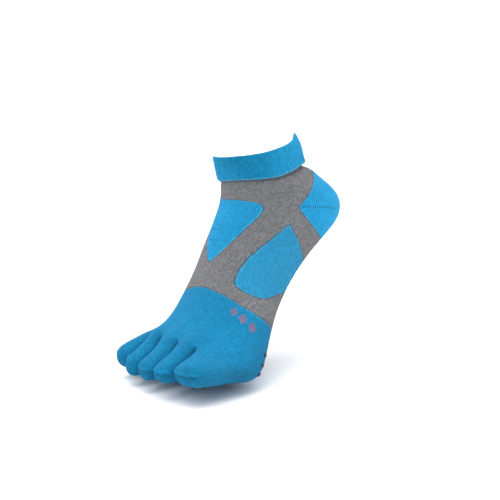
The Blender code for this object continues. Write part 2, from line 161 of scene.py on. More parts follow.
def section_spot(row, angle, cleft, inset=0.0):
    centre, half, width, side = section_axes(row, inset)
    power = 1.0 - 0.5 * row[10]
    cos_a = math.cos(angle)
    sin_a = math.sin(angle)
    across = math.copysign(abs(cos_a) ** power, cos_a)
    rise = math.copysign(abs(sin_a) ** power, sin_a) * (1.0 - row[12] * cleft)
    level = rise - row[11] * (1.0 - rise * rise)
    tilt = row[13] * across + row[14] * (1.0 - 2.0 * across * across)
    tilt = (tilt - row[15] * (0.5 + 0.5 * math.cos(angle - dip_angle)) ** dip_spread) * ankle_width
    return centre + side * (across * width) + half * level + Vector((0.0, 0.0, tilt))


def knit_ring(row, inset=0.0):
    half_turn = []
    for index in range(13):
        toe_angle = math.acos(max(-1.0, min(1.0, across_shares[index])))
        half_turn.append(index * math.pi / 12.0 * (1.0 - row[9]) + toe_angle * row[9])
    spots = []
    for index, angle in enumerate(half_turn + [-a for a in half_turn[11:0:-1]]):
        mirrored = index if index <= 12 else ring_points - index
        cleft = 1.0 if mirrored in (3, 5, 7, 9) else 0.0
        spots.append(section_spot(row, angle, cleft, inset))
    middle = sum(spots, Vector()) / ring_points
    grow = 6.0 / (4.0 + 2.0 * math.cos(2.0 * math.pi / ring_points))
    return [middle + (p - middle) * grow for p in spots]


def toe_directions(toe):
    turn = math.radians(toe[7])
    return Vector((math.cos(turn), math.sin(turn), 0.0)), Vector((math.sin(turn), -math.cos(turn), 0.0))


def toe_middle(toe, root, share):
    spot = root + toe_directions(toe)[1] * (toe[0] * foot_length * share)
    spot.z = root.z * (1.0 - share) + (toe[8] * toe_height - opening_centre.z) * share
    return spot


# Knitted rows from the top of the tube to each of its rings
ring_rows = (
    0.0, 5.6, 8.0, 11.7, 21.1, 34.1, 44.3, 54.8, 69.5, 88.3, 107.8, 128.3, 147.8, 165.7, 179.8, 195.3,
)

# Cage of the tube: rings of 24 points, then the last ring splits into five toe loops.
# Each face carries its stitch coordinates: columns round the foot, rows down the foot.
edge_drop = (sections[0][1] - sections[1][1]) * sock_height
overlap_share = cuff_overlap / edge_drop
cage_rings = [
    knit_ring(section_at(1.0 + step * overlap_share), (cuff_wall + cuff_clearance) * share)
    for step, share in hidden_top
]
cage_rings.extend(knit_ring(row) for row in sections[2:])

cage_spots = []
cage_faces = []
cage_stitches = []
ring_loops = []
for ring in cage_rings:
    ring_loops.append(list(range(len(cage_spots), len(cage_spots) + ring_points)))
    cage_spots.extend(ring)
for number, (upper, lower) in enumerate(zip(ring_loops, ring_loops[1:])):
    for k in range(ring_points):
        n = (k + 1) % ring_points
        left = k * stitches_a_column
        right = (k + 1) * stitches_a_column
        top = ring_rows[number]
        bottom = ring_rows[number + 1]
        cage_faces.append((upper[k], upper[n], lower[n], lower[k]))
        cage_stitches.append(((left, top), (right, top), (right, bottom), (left, bottom)))

# How high the web between two toes sits between the sole and the top of the foot
web_level = 0.90
root_loop = ring_loops[-1]
webs = {0: root_loop[0], 5: root_loop[12]}
for j in range(1, 5):
    webs[j] = len(cage_spots)
    over_spot = cage_spots[root_loop[2 * j + 1]]
    under_spot = cage_spots[root_loop[ring_points - 2 * j - 1]]
    cage_spots.append(under_spot + (over_spot - under_spot) * web_level)

toe_roots = []
toe_grow = 6.0 / (4.0 + 2.0 * math.cos(math.pi / 4.0))
for j, toe in enumerate(toes):
    over = [root_loop[2 * j + 1], root_loop[2 * j + 2], root_loop[2 * j + 3]]
    under = [root_loop[ring_points - 2 * j - 3], root_loop[ring_points - 2 * j - 2],
             root_loop[ring_points - 2 * j - 1]]
    before = over + [webs[j + 1]] + under + [webs[j]]
    base = [cage_spots[i].copy() for i in before]
    root = sum(base, Vector()) / 8.0
    toe_roots.append(root)
    side, ahead = toe_directions(toe)
    middle_column = (2 * j + 2) * stitches_a_column
    wale_above = stitches_a_column
    top = ring_rows[-1]
    for step, (share, follow) in enumerate(toe_steps):
        if share > 0.5:
            width = toe[2] + (toe[3] - toe[2]) * (share * 2.0 - 1.0)
            height = toe[5] + (toe[6] - toe[5]) * (share * 2.0 - 1.0)
        else:
            width = toe[1] + (toe[2] - toe[1]) * share * 2.0
            height = toe[4] + (toe[5] - toe[4]) * share * 2.0
        if step == len(toe_steps) - 1:
            width *= tip_rounding
            height *= tip_rounding
        centre = toe_middle(toe, root, share)
        bottom = ring_rows[-1] + toe[0] * foot_length * share / course_height
        ring = []
        for i in range(8):
            angle = math.radians(45.0 * (i + 1))
            out = side * (math.cos(angle) * width * ball_width / 2.0)
            out = out + Vector((0.0, 0.0, math.sin(angle) * height * toe_height / 2.0))
            ring.append(len(cage_spots))
            as_root = base[i] + centre - root
            cage_spots.append((centre + out * toe_grow) * (1.0 - follow) + as_root * follow)
        wale = stitches_a_column * (1.0 - (1.0 - toe_wales[j]) * wale_change[step])
        for i in range(8):
            n = (i + 1) % 8
            turn = i if i < 5 else i - 8
            cage_faces.append((before[i], before[n], ring[n], ring[i]))
            cage_stitches.append((
                (middle_column + (turn - 1) * wale_above, top), (middle_column + turn * wale_above, top),
                (middle_column + turn * wale, bottom), (middle_column + (turn - 1) * wale, bottom),
            ))
        before = ring
        top = bottom
        wale_above = wale
    tip = len(cage_spots)
    cage_spots.append(sum((cage_spots[i] for i in before), Vector()) / 8.0 + ahead * (0.05 * toe_height))
    last_row = top + 4.0
    for i in range(0, 8, 2):
        left = middle_column + (i - 1) * wale_above
        middle = left + wale_above
        right = middle + wale_above
        cage_faces.append((before[i], before[i + 1], before[(i + 2) % 8], tip))
        cage_stitches.append(((left, top), (middle, top), (right, top), (middle, last_row)))


def add_object(name, data):
    obj = bpy.data.objects.new(name, data)
    bpy.context.scene.collection.objects.link(obj)
    return obj


# Mesh with stitch coordinates, one pair for each corner of each face
def stitched_mesh(name, spots, faces, stitches):
    mesh = bpy.data.meshes.new(name)
    mesh.from_pydata([tuple(p) for p in spots], [], faces)
    flat_stitches = [value for face in stitches for pair in face for value in pair]
    mesh.uv_layers.new(name="stitches").data.foreach_set("uv", flat_stitches)
    return mesh


def add_attribute(mesh, name, values):
    mesh.attributes.new(name, "FLOAT", "POINT").data.foreach_set("value", values)


def read_values(items, key, width, kind=float):
    values = np.zeros(len(items) * width, kind)
    items.foreach_get(key, values)
    return values


cage = add_object("knit_cage", stitched_mesh("knit_cage", cage_spots, cage_faces, cage_stitches))
rounding = cage.modifiers.new("rounding", "SUBSURF")
rounding.levels = 3
rounding.render_levels = 3
rounding.uv_smooth = "NONE"
bpy.context.view_layer.update()
smooth_mesh = bpy.data.meshes.new_from_object(cage.evaluated_get(bpy.context.evaluated_depsgraph_get()))
bpy.data.objects.remove(cage, do_unlink=True)

sheet_count = len(smooth_mesh.vertices)
sheet_spots = read_values(smooth_mesh.vertices, "co", 3).reshape(-1, 3)
sheet_quads = read_values(smooth_mesh.loops, "vertex_index", 1, np.int32).reshape(-1, 4)
sheet_stitches = read_values(smooth_mesh.uv_layers["stitches"].data, "uv", 2).reshape(-1, 4, 2)


# Outward direction at every point of the sheet
def sheet_normals(spots):
    a, b, c, d = (spots[sheet_quads[:, i]] for i in range(4))
    face_normals = np.cross(c - a, d - b)
    normals = np.zeros_like(spots)
    for i in range(4):
        np.add.at(normals, sheet_quads[:, i], face_normals)
    return normals / np.maximum(np.linalg.norm(normals, axis=1), 1e-12)[:, None]


# Where the blue front part begins: stitch column round the foot, row down the foot
fore_edge = (
    (0, 143.1), (5.3, 142.7), (9.4, 141.9), (15.4, 140.3), (23.7, 137.7), (30.2, 135.3), (37.1, 133.1),
    (44.4, 132), (51.5, 133), (58.5, 135.1), (65, 137.7), (73, 140.3), (80, 141.9), (90, 143.3),
    (96, 144.5), (108, 147.2), (122, 150), (143, 151.4), (166, 150), (179, 147.2), (187.4, 144.7),
    (192, 143.1),
)
# Leaf over the instep, by stitch column and row, and which of its points is the sharp tip
instep_outline = (
    (43, 31), (36.2, 32.1), (31.9, 34.3), (29.1, 37.1), (28.3, 40.9), (28.8, 45.5), (30, 50.2),
    (31.9, 57.4), (34.4, 67.5), (37.6, 78.5), (41, 88.5), (45, 97.5), (48.8, 103.4), (52, 97.5),
    (55.6, 88.5), (59, 78.5), (62.4, 67.5), (65.4, 57.4), (67.4, 50.2), (68.5, 45.5), (68.9, 40.8),
    (67.9, 37.4), (64.8, 34.6), (60, 31.6), (52, 30.8),
)
instep_tip = 12
# Arch and heel outlines in the side view, as (section station, level).
# Level 0 is the back or sole line and level 1 the front or top line.
arch_outline = (
    (4.96, 0.695), (5.52, 0.605), (6.06, 0.5), (6.5, 0.4), (6.88, 0.3), (7.18, 0.17), (7.32, 0),
    (7.36, -0.15), (7.8, -0.3), (8.35, -0.15), (8.36, 0), (8.45, 0.2), (8.57, 0.345), (8.79, 0.475),
    (8.97, 0.575), (8.99, 0.66), (8.96, 0.765), (8.85, 0.85), (8.61, 0.888), (8.23, 0.886),
    (7.73, 0.865), (7.17, 0.83), (6.52, 0.775), (6.05, 0.735), (5.46, 0.71),
)
heel_outline = (
    (1.35, 0), (1.32, 0.1), (1.42, 0.2), (1.63, 0.285), (2.22, 0.465), (2.86, 0.6), (3.43, 0.675),
    (4.25, 0.61), (4.98, 0.5), (5.5, 0.365), (5.9, 0.22), (6.35, 0), (6.6, -0.15), (5.6, -0.3),
    (4.2, -0.3), (2.8, -0.3), (1.6, -0.2),
)
arch_tip = 0
heel_tip = 6


def side_view_spot(station, level):
    centre, half, _width, _side = section_axes(section_at(max(0.0, min(station, len(sections) - 1.0))))
    spot = centre + half * (2.0 * level - 1.0)
    return spot.y, spot.z


# Closed smooth curve through points in a plane, with one sharp corner
def smooth_outline(points, corner, steps=4):
    count = len(points)
    line = []
    for i in range(count):
        near = [points[(i + k) % count] for k in (-1, 0, 1, 2)]
        if i == corner:
            near[0] = tuple(2.0 * b - c for b, c in zip(near[1], near[2]))
        if (i + 1) % count == corner:
            near[3] = tuple(2.0 * c - b for b, c in zip(near[1], near[2]))
        for s in range(steps):
            t = s / steps
            pair = []
            for axis in (0, 1):
                a, b, c, d = (p[axis] for p in near)
                pair.append(0.5 * (2 * b + (c - a) * t + (2 * a - 5 * b + 4 * c - d) * t * t
                                   + (3 * b - a - 3 * c + d) * t ** 3))
            line.append(tuple(pair))
    return line


# Distance of points in a plane from the straight line between two ends
def line_distance(points, start, end):
    along = end - start
    share = np.clip((points - start) @ along / max(along @ along, 1e-12), 0.0, 1.0)
    return np.linalg.norm(points - start - share[:, None] * along, axis=1)


# Distance of points in a plane from an outline, positive inside it
def inside_distance(line, points):
    best = np.full(len(points), 1e9)
    crossings = np.zeros(len(points), bool)
    for start, end in zip(line, line[1:] + line[:1]):
        a = np.array(start)
        b = np.array(end)
        along = b - a
        best = np.minimum(best, line_distance(points, a, b))
        straddles = (a[1] > points[:, 1]) != (b[1] > points[:, 1])
        rise = along[1] if abs(along[1]) > 1e-12 else 1e-12
        reach = a[0] + (points[:, 1] - a[1]) * along[0] / rise
        crossings ^= straddles & (points[:, 0] < reach)
    return np.where(crossings, best, -best)


# Stitch column and row of every point of the sheet, and the same in metres
columns_round = ring_points * stitches_a_column
stitch_size = np.array((wale_width, course_height))
point_stitches = np.zeros((sheet_count, 2))
point_stitches[sheet_quads.ravel()] = sheet_stitches.reshape(-1, 2)
point_columns, point_rows = point_stitches.T
point_places = point_stitches * stitch_size
wrapped_columns = point_columns % columns_round
front_row = np.interp(wrapped_columns, *zip(*fore_edge))
front_row = np.where(point_rows > ring_rows[-1], ring_rows[-1] - 20.0, front_row)
instep_line = [tuple(np.array(pair) * stitch_size) for pair in smooth_outline(instep_outline, instep_tip)]
arch_line = smooth_outline([side_view_spot(*pair) for pair in arch_outline], arch_tip)
heel_line = smooth_outline([side_view_spot(*pair) for pair in heel_outline], heel_tip)
zones = {
    "toe": (point_rows - front_row) * course_height,
    "instep": inside_distance(instep_line, point_places),
    "arch": inside_distance(arch_line, sheet_spots[:, 1:3]),
    "heel": inside_distance(heel_line, sheet_spots[:, 1:3]),
}
# The outer leaf of the arch is a little smaller than the inner one. The trim, in metres, is
# full within trim_columns of the outer line and fades over the next fade_columns.
outer_trim = 0.0040
trim_columns = 40.0
fade_columns = 12.0
off_outer = np.abs(wrapped_columns - columns_round / 2.0)
zones["arch"] -= outer_trim * np.clip(1.0 - (off_outer - trim_columns) / fade_columns, 0.0, 1.0)
zones["grey"] = -np.max(list(zones.values()), axis=0)

# Small wrinkles across the instep: stitch column and row of both ends, depth and half width
# in metres
wrinkles = (
    (46.5, 64.9, 59.0, 66.3, 0.00050, 0.0012),
    (45.0, 77.9, 55.0, 78.7, 0.00050, 0.0012),
    (42.5, 85.2, 49.5, 84.8, 0.00030, 0.0011),
)
# Linked seam across each toe: its level as a share of toe_height over the ground, how far the
# knit bulges over it in metres, how strong the seam is, and the ridge's height and half width
toe_seams = (1.03, 0.90, 0.76, 0.80, 0.78)
seam_bulges = (0.0002, 0.0006, 0.0012, 0.0017, 0.0009)
seam_strengths = (1.0, 0.9, 0.8, 0.4, 0.4)
seam_ridge = 0.00040
seam_width = 0.0008
# The seam begins at this share of a toe's length
seam_start = 0.85
# The bulge is over the seam by seam_rise, and fades over these heights above and below that
seam_rise = 0.0015
bulge_above = 0.0050
bulge_below = 0.0022
# The foot fills the knit out under the back of the cuff and at the inner edge of the ball
cuff_back_bulge = 0.0011
ball_bulge = 0.0010
# Painted light and shade on the toe section: its top is painted lighter, its toe end and the
# low inner side of the forefoot painted darker
painted_top_light = 0.08
painted_toe_shade = 0.15
painted_inner_shade = 0.14


# Soft round spot on the knit: 1 in its middle, fading over its reach in columns and rows
def soft_spot(columns, middle, reach):
    return np.exp(-((columns - middle[0]) / reach[0]) ** 2 - ((point_rows - middle[1]) / reach[1]) ** 2)


# The knit is a little uneven, and dips where two colours meet: depth and half width
edge_dip = 0.00010
dip_width = 0.0007
sheet_out = sheet_normals(sheet_spots)
lift = np.array([
    0.00016 * noise.noise(Vector(p) * 55.0) + 0.00008 * noise.noise(Vector(p) * 160.0) for p in sheet_spots
])
nearest_edge = np.min(np.abs(list(zones.values())), axis=0)
lift -= edge_dip * np.exp(-(nearest_edge / dip_width) ** 2)
lift += cuff_back_bulge * soft_spot(point_columns, (171.0, 14.0), (14.0, 6.0))
lift += ball_bulge * soft_spot(wrapped_columns, (182.0, 180.0), (10.0, 9.0))

# Painted light and shade on the forefoot: lighter on top, painted shade towards the toes and
# low on the inner side of the ball
toward_toes = np.clip((point_rows - 180.0) / 35.0, 0.0, 1.0)
in_rows = np.clip(1.0 - ((point_rows - 174.0) / 32.0) ** 2, 0.0, 1.0)
in_columns = np.clip(1.0 - np.abs((point_columns + 20.0) % columns_round - 26.0) / 26.0, 0.0, 1.0)
painted_light_and_shade = painted_top_light - painted_toe_shade * toward_toes - painted_inner_shade * in_rows * in_columns
painted_light_and_shade = np.where(zones["toe"] > 0.0, painted_light_and_shade, 0.0)
for *ends, depth, reach in wrinkles:
    start, end = np.array(ends).reshape(2, 2) * stitch_size
    lift -= depth * np.exp(-(line_distance(point_places, start, end) / reach) ** 2)
for j, toe in enumerate(toes):
    centre = toe_middle(toe, toe_roots[j], seam_start)
    side, ahead = toe_directions(toe)
    from_centre = sheet_spots - np.array(centre)
    across = from_centre @ np.array(side)
    beyond = from_centre @ np.array(ahead)
    over_seam = sheet_spots[:, 2] - (toe_seams[j] * toe_height - opening_centre.z)
    near_toe = (np.abs(across) < 0.6 * toe[3] * ball_width) & (point_rows > ring_rows[-1] + 20.0)
    near_tip = np.where(near_toe, np.clip(beyond / 0.0035, 0.0, 1.0), 0.0) * seam_strengths[j]
    ridge = near_tip * np.exp(-(over_seam / seam_width) ** 2)
    groove = near_tip * np.exp(-((over_seam + 2.2 * seam_width) / seam_width) ** 2)
    lift += seam_ridge * (ridge - 0.5 * groove)
    # Lighter along the seam's ridge, with painted shade in the groove just below it
    painted_light_and_shade += 0.32 * ridge - 0.18 * groove
    on_corner = np.where(near_toe, np.clip((beyond + 0.0060) / 0.0100, 0.0, 1.0), 0.0)
    bulge_side = np.where(over_seam > seam_rise, bulge_above, bulge_below)
    lift += seam_bulges[j] * on_corner * np.exp(-((over_seam - seam_rise) / bulge_side) ** 2)
sheet_spots = sheet_spots + sheet_out * lift[:, None]
sheet_out = sheet_normals(sheet_spots)

# Points this near to a zone's edge, in metres, are taken as on it
edge_snap = 0.00008


# Piece of the sheet where the zone is positive, with an outer face, an inner face and a
# closed rim. The attribute zone_edge holds the distance to the zone's edge in millimetres,
# and painted_light_and_shade how much lighter or darker the knit is painted there: painted
# light and shade on the forefoot, lighter stitches along the toe seams' ridges and painted
# shade in the grooves below them.
def knit_piece(name, zone, materials, wall=knit_wall):
    value = np.where(np.abs(zone) < edge_snap, 0.0, zone)
    spots = []
    outs = []
    edges_mm = []
    painted_light_values = []
    kept = {}
    crossed = {}

    def add(spot, out, edge, shade):
        spots.append(spot)
        outs.append(out)
        edges_mm.append(edge * 1000.0)
        painted_light_values.append(shade)
        return len(spots) - 1

    def keep(i):
        if i not in kept:
            kept[i] = add(sheet_spots[i], sheet_out[i], max(0.0, zone[i]), painted_light_and_shade[i])
        return kept[i]

    def cross(i, j):
        key = (min(i, j), max(i, j))
        share = value[key[0]] / (value[key[0]] - value[key[1]])
        if key not in crossed:
            spot = sheet_spots[key[0]] * (1.0 - share) + sheet_spots[key[1]] * share
            out = sheet_out[key[0]] * (1.0 - share) + sheet_out[key[1]] * share
            crossed[key] = add(spot, out / np.linalg.norm(out), 0.0, painted_light_and_shade[i])
        return crossed[key], share if key[0] == i else 1.0 - share

    faces = []
    stitches = []
    quad_values = value[sheet_quads]
    whole = quad_values.min(axis=1) >= 0.0
    some = quad_values.max(axis=1) > 0.0
    for number in np.nonzero(some)[0]:
        corners = [int(i) for i in sheet_quads[number]]
        uv = sheet_stitches[number]
        if whole[number]:
            faces.append([keep(i) for i in corners])
            stitches.append([tuple(pair) for pair in uv])
            continue
        face = []
        face_uv = []
        for c in range(4):
            n = (c + 1) % 4
            here = value[corners[c]]
            there = value[corners[n]]
            if here >= 0.0:
                face.append(keep(corners[c]))
                face_uv.append(tuple(uv[c]))
            if here * there < 0.0:
                spot, share = cross(corners[c], corners[n])
                face.append(spot)
                face_uv.append(tuple(uv[c] * (1.0 - share) + uv[n] * share))
        if len(face) >= 3:
            faces.append(face)
            stitches.append(face_uv)

    count = len(spots)
    outer = np.array(spots)
    inner = outer - np.array(outs) * wall
    open_edges = {}
    for face, face_uv in zip(faces, stitches):
        for c in range(len(face)):
            n = (c + 1) % len(face)
            pair = (face[c], face[n])
            if (pair[1], pair[0]) in open_edges:
                del open_edges[(pair[1], pair[0])]
            else:
                open_edges[pair] = (face_uv[c], face_uv[n])
    all_faces = faces + [[i + count for i in face[::-1]] for face in faces]
    all_stitches = stitches + [face_uv[::-1] for face_uv in stitches]
    slots = [0] * len(faces) + [1] * len(faces)
    smooth = [True] * (2 * len(faces))
    for (a, b), (uv_a, uv_b) in open_edges.items():
        all_faces.append([b, a, a + count, b + count])
        all_stitches.append([uv_b, uv_a, uv_a, uv_b])
        slots.append(0)
        smooth.append(False)

    mesh = stitched_mesh(name, np.concatenate([outer, inner]), all_faces, all_stitches)
    add_attribute(mesh, "zone_edge", edges_mm + edges_mm)
    add_attribute(mesh, "painted_light_and_shade", painted_light_values + painted_light_values)
    mesh.polygons.foreach_set("use_smooth", smooth)
    for mat in materials:
        mesh.materials.append(mat)
    mesh.polygons.foreach_set("material_index", slots)
    return add_object(name, mesh)


# Feeds a node's input with another node's output, or with a plain value
def feed(tree, socket, value):
    if isinstance(value, bpy.types.NodeSocket):
        tree.links.new(value, socket)
    else:
        socket.default_value = value


def add_node(tree, kind, inputs, **settings):
    node = tree.nodes.new(kind)
    for key, value in settings.items():
        setattr(node, key, value)
    for slot, value in inputs.items():
        feed(tree, node.inputs[slot], value)
    return node


def add_math(tree, operation, *values, clamp=False):
    inputs = dict(enumerate(values))
    return add_node(tree, "ShaderNodeMath", inputs, operation=operation, use_clamp=clamp).outputs[0]


def product(tree, *values, clamp=False):
    return add_math(tree, "MULTIPLY", *values, clamp=clamp)


# A value times a factor, plus an offset
def scaled(tree, *values, clamp=False):
    return add_math(tree, "MULTIPLY_ADD", *values, clamp=clamp)


def mix_colours(tree, share, first, second):
    pair = [c if isinstance(c, bpy.types.NodeSocket) else (*c, 1.0) for c in (first, second)]
    inputs = {0: share, 6: pair[0], 7: pair[1]}
    return add_node(tree, "ShaderNodeMix", inputs, data_type="RGBA").outputs[2]


def new_material(name, values):
    mat = bpy.data.materials.new(name)
    mat.use_nodes = True
    shader = mat.node_tree.nodes["Principled BSDF"]
    for label, value in values.items():
        shader.inputs[label].default_value = value
    return mat, mat.node_tree, shader


# Node group with stitch coordinates and numbers in, and numbers out
def stitch_group(name, numbers_in, numbers_out):
    tree = bpy.data.node_groups.new(name, "ShaderNodeTree")
    tree.interface.new_socket(name="Stitches", in_out="INPUT", socket_type="NodeSocketVector")
    for labels, way in ((numbers_in, "INPUT"), (numbers_out, "OUTPUT")):
        for label in labels:
            tree.interface.new_socket(name=label, in_out=way, socket_type="NodeSocketFloat")
    group_in = tree.nodes.new("NodeGroupInput").outputs
    group_out = tree.nodes.new("NodeGroupOutput").inputs
    split = add_node(tree, "ShaderNodeSeparateXYZ", {0: group_in["Stitches"]}).outputs
    return tree, group_in, group_out, split


# Knit stitch as a node group: each stitch is a V of two slanting legs. In: stitch
# coordinates and their scale. Out: height, painted shade in the gaps, and a number per stitch.
stitch_outputs = ("Height", "Gap", "Yarn", "Fibre", "Check")
knit_stitch, group_in, group_out, split = stitch_group("knit_stitch", ("Columns", "Rows"), stitch_outputs)
tree = knit_stitch
column = product(tree, split["X"], group_in["Columns"])
course = product(tree, split["Y"], group_in["Rows"])
column_share = add_math(tree, "FRACT", column)
from_middle = add_math(tree, "ABSOLUTE", scaled(tree, column_share, 2.0, -1.0))
slant = scaled(tree, from_middle, -0.75, course)
row_share = add_math(tree, "FRACT", slant)
wale, leg, bead = (
    add_math(tree, "SINE", product(tree, share, math.pi))
    for share in (column_share, from_middle, row_share)
)
rounded_wale = add_math(tree, "POWER", add_math(tree, "MAXIMUM", wale, 0.0), 0.6)
rounded_leg = scaled(tree, add_math(tree, "MAXIMUM", leg, 0.0), 0.25, 0.75)
rounded_bead = add_math(tree, "POWER", add_math(tree, "MAXIMUM", bead, 0.0), 0.5)
height = product(tree, rounded_wale, rounded_leg)
height = product(tree, height, scaled(tree, rounded_bead, 0.5, 0.5))
gap = add_math(tree, "SUBTRACT", 1.0, height, clamp=True)
whole_column = add_math(tree, "FLOOR", column)
whole_slant = add_math(tree, "FLOOR", slant)
cell = add_node(tree, "ShaderNodeCombineXYZ", {"X": whole_column, "Y": whole_slant}).outputs[0]
per_stitch = add_node(tree, "ShaderNodeTexWhiteNoise", {"Vector": cell}, noise_dimensions="3D")
fibre = add_node(tree, "ShaderNodeTexNoise", {
    "Vector": group_in["Stitches"], "Scale": 3.1, "Detail": 3.0, "Roughness": 0.65,
})
stitch_number = add_math(tree, "ADD", whole_column, add_math(tree, "FLOOR", course))
results = (
    height, add_math(tree, "POWER", gap, 1.2), per_stitch.outputs["Value"], fibre.outputs["Fac"],
    add_math(tree, "PINGPONG", stitch_number, 1.0),
)
for label, result in zip(stitch_outputs, results):
    tree.links.new(result, group_out[label])

# Line across the stitches as a node group, for painted shade along creases and for seams.
# In: stitch coordinates, the middle and half length in columns, its row, slope and half width,
# and the open stitches for each column in Dots, 0 for a plain line. Out: a mask, below 0
# between open stitches.
line_inputs = ("Column", "Reach", "Row", "Slope", "Width", "Dots")
stitch_line, group_in, group_out, split = stitch_group("stitch_line", line_inputs, ("Mask",))
tree = stitch_line
from_middle = add_math(tree, "SUBTRACT", split["X"], group_in["Column"])
line_row = scaled(tree, from_middle, group_in["Slope"], group_in["Row"])
off_line = add_math(tree, "DIVIDE", add_math(tree, "SUBTRACT", split["Y"], line_row), group_in["Width"])
in_width = add_math(tree, "SUBTRACT", 1.0, add_math(tree, "ABSOLUTE", off_line), clamp=True)
in_reach = add_math(tree, "DIVIDE", add_math(tree, "ABSOLUTE", from_middle), group_in["Reach"])
in_reach = product(tree, add_math(tree, "SUBTRACT", 1.0, in_reach), 4.0, clamp=True)
dot_place = product(tree, split["X"], group_in["Dots"])
between = add_math(tree, "LESS_THAN", add_math(tree, "FRACT", dot_place), 0.48)
between = product(tree, between, add_math(tree, "SIGN", group_in["Dots"]))
open_stitch = scaled(tree, between, -1.3, 1.0)
line_mask = product(tree, in_width, in_reach)
tree.links.new(product(tree, line_mask, open_stitch), group_out["Mask"])

# Light and dark patches of the yarn: scale of the noise and its strength
patches = ((45.0, 0.12), (320.0, 0.17))


# Finish of one knit: yarn colour, colour at its edge and in its gaps, and stitch scale.
# fleck: colour of the stray stitches. edge: two colours of the stitches along the edge.
# check: strength of the mesh pattern. lines: (column, reach, row, slope, width, dots, shade).
def knit_material(name, colour, fleck, edge, edge_width, columns, rows, depth, mottle, gap_shade,
                  check=0.0, lines=()):
    mat, tree, shader = new_material(name, {
        "Roughness": 0.9, "Specular IOR Level": 0.12, "Sheen Weight": 0.05, "Sheen Roughness": 0.45,
        "Sheen Tint": (*[0.5 + 0.5 * c for c in colour], 1.0),
    })
    stitches = add_node(tree, "ShaderNodeUVMap", {}, uv_map="stitches").outputs["UV"]
    place = tree.nodes.new("ShaderNodeTexCoord").outputs["Object"]
    scale = {"Stitches": stitches, "Columns": columns, "Rows": rows}
    knit = add_node(tree, "ShaderNodeGroup", scale, node_tree=knit_stitch).outputs
    # Painted light and shade from the mesh attribute, multiplied into the tone below
    painted_light_mask = add_node(tree, "ShaderNodeAttribute", {}, attribute_name="painted_light_and_shade").outputs["Fac"]
    # What makes the knit lighter or darker: a mask, its strength, and the tone where it is 0
    tones = [
        (knit["Yarn"], mottle, 1.0 - mottle / 2.0), (knit["Fibre"], mottle * 1.4, 1.0 - mottle * 0.7),
        (knit["Gap"], -gap_shade, 1.0), (knit["Check"], check, 1.0 - check / 2.0), (painted_light_mask, 1.0, 1.0),
    ]
    for size, strength in patches:
        patch = add_node(tree, "ShaderNodeTexNoise", {"Vector": place, "Scale": size, "Detail": 2.0})
        tones.append((patch.outputs["Fac"], strength, 1.0 - strength / 2.0))
    fuzz = scaled(tree, knit["Fibre"], 0.5, knit["Height"])
    for *numbers, shade in lines:
        inputs = {"Stitches": stitches, **dict(zip(line_inputs, numbers))}
        mask = add_node(tree, "ShaderNodeGroup", inputs, node_tree=stitch_line).outputs["Mask"]
        tones.append((mask, -shade, 1.0))
        fuzz = scaled(tree, mask, -0.8, fuzz)
    tone = 1.0
    for mask, strength, plain in tones:
        tone = product(tree, tone, scaled(tree, mask, strength, plain))
    # Stray stitches, then stitches of two edge colours along the edge; on the grey knit the
    # dark brown ones are partly painted shade along the seam
    stray_share = scaled(tree, knit["Fibre"], 4.0, -1.5, clamp=True)
    mixed = mix_colours(tree, stray_share, colour, fleck)
    edge_distance = add_node(tree, "ShaderNodeAttribute", {}, attribute_name="zone_edge").outputs["Fac"]
    edge_reach = scaled(tree, knit["Fibre"], edge_width, edge_width * 0.5)
    near = add_math(tree, "LESS_THAN", edge_distance, edge_reach)
    for edge_colour, yarn_from, yarn_to in ((edge[0], 0.0, 0.5), (edge[1], 0.65, 1.0)):
        middle = (yarn_from + yarn_to) / 2.0
        picked = add_math(tree, "COMPARE", knit["Yarn"], middle, yarn_to - middle)
        mixed = mix_colours(tree, product(tree, near, picked), mixed, edge_colour)
    toned = add_node(tree, "ShaderNodeVectorMath", {0: mixed}, operation="SCALE")
    feed(tree, toned.inputs["Scale"], tone)
    tree.links.new(toned.outputs[0], shader.inputs["Base Color"])
    relief = add_node(tree, "ShaderNodeBump", {"Strength": 1.0, "Distance": depth, "Height": fuzz})
    tree.links.new(relief.outputs["Normal"], shader.inputs["Normal"])
    return mat


# Grey foot body.
# The support knit that holds the ankle, midfoot and the band before the toes: grey
# cotton and polyamide with elastic, firm and slightly meshed, open under the blue panels.
blue_edge = ((0.09, 0.47, 0.74), (0.030, 0.34, 0.64))
# Along the grey's edge: stitches of the neighbouring blue, and dark brown stitches that are partly painted
# shade along the seam
grey_edge_and_seam_shade = ((0.045, 0.27, 0.47), (0.150, 0.115, 0.115))
grey_knit = knit_material(
    "grey_knit", (0.335, 0.276, 0.27), (0.212, 0.274, 0.312), grey_edge_and_seam_shade, 0.75,
    1.0, 0.75, 0.0007, 0.50, 0.62, check=0.20,
)
inside_knit = knit_material(
    "inside_knit", (0.1, 0.23, 0.34), (0.12, 0.2, 0.28), ((0.09, 0.18, 0.26), (0.09, 0.22, 0.34)), 0.6,
    1.0, 0.5, 0.0004, 0.25, 0.5,
)
foot_body = knit_piece("grey_foot_body", zones["grey"], (grey_knit, inside_knit))
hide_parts("foot_body")
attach(foot_body, "root")

# Forefoot and toes.
# The blue front part with its five toe pockets is knitted in one piece with the foot.
# Each toe is closed by a short linked seam across its tip.
toe_columns = 1.25
blue_toe_knit = knit_material(
    "blue_toe_knit", (0.005, 0.352, 0.695), (0.01, 0.29, 0.575), blue_edge, 1.1,
    toe_columns, 1.0, 0.0007, 0.36, 0.66,
)
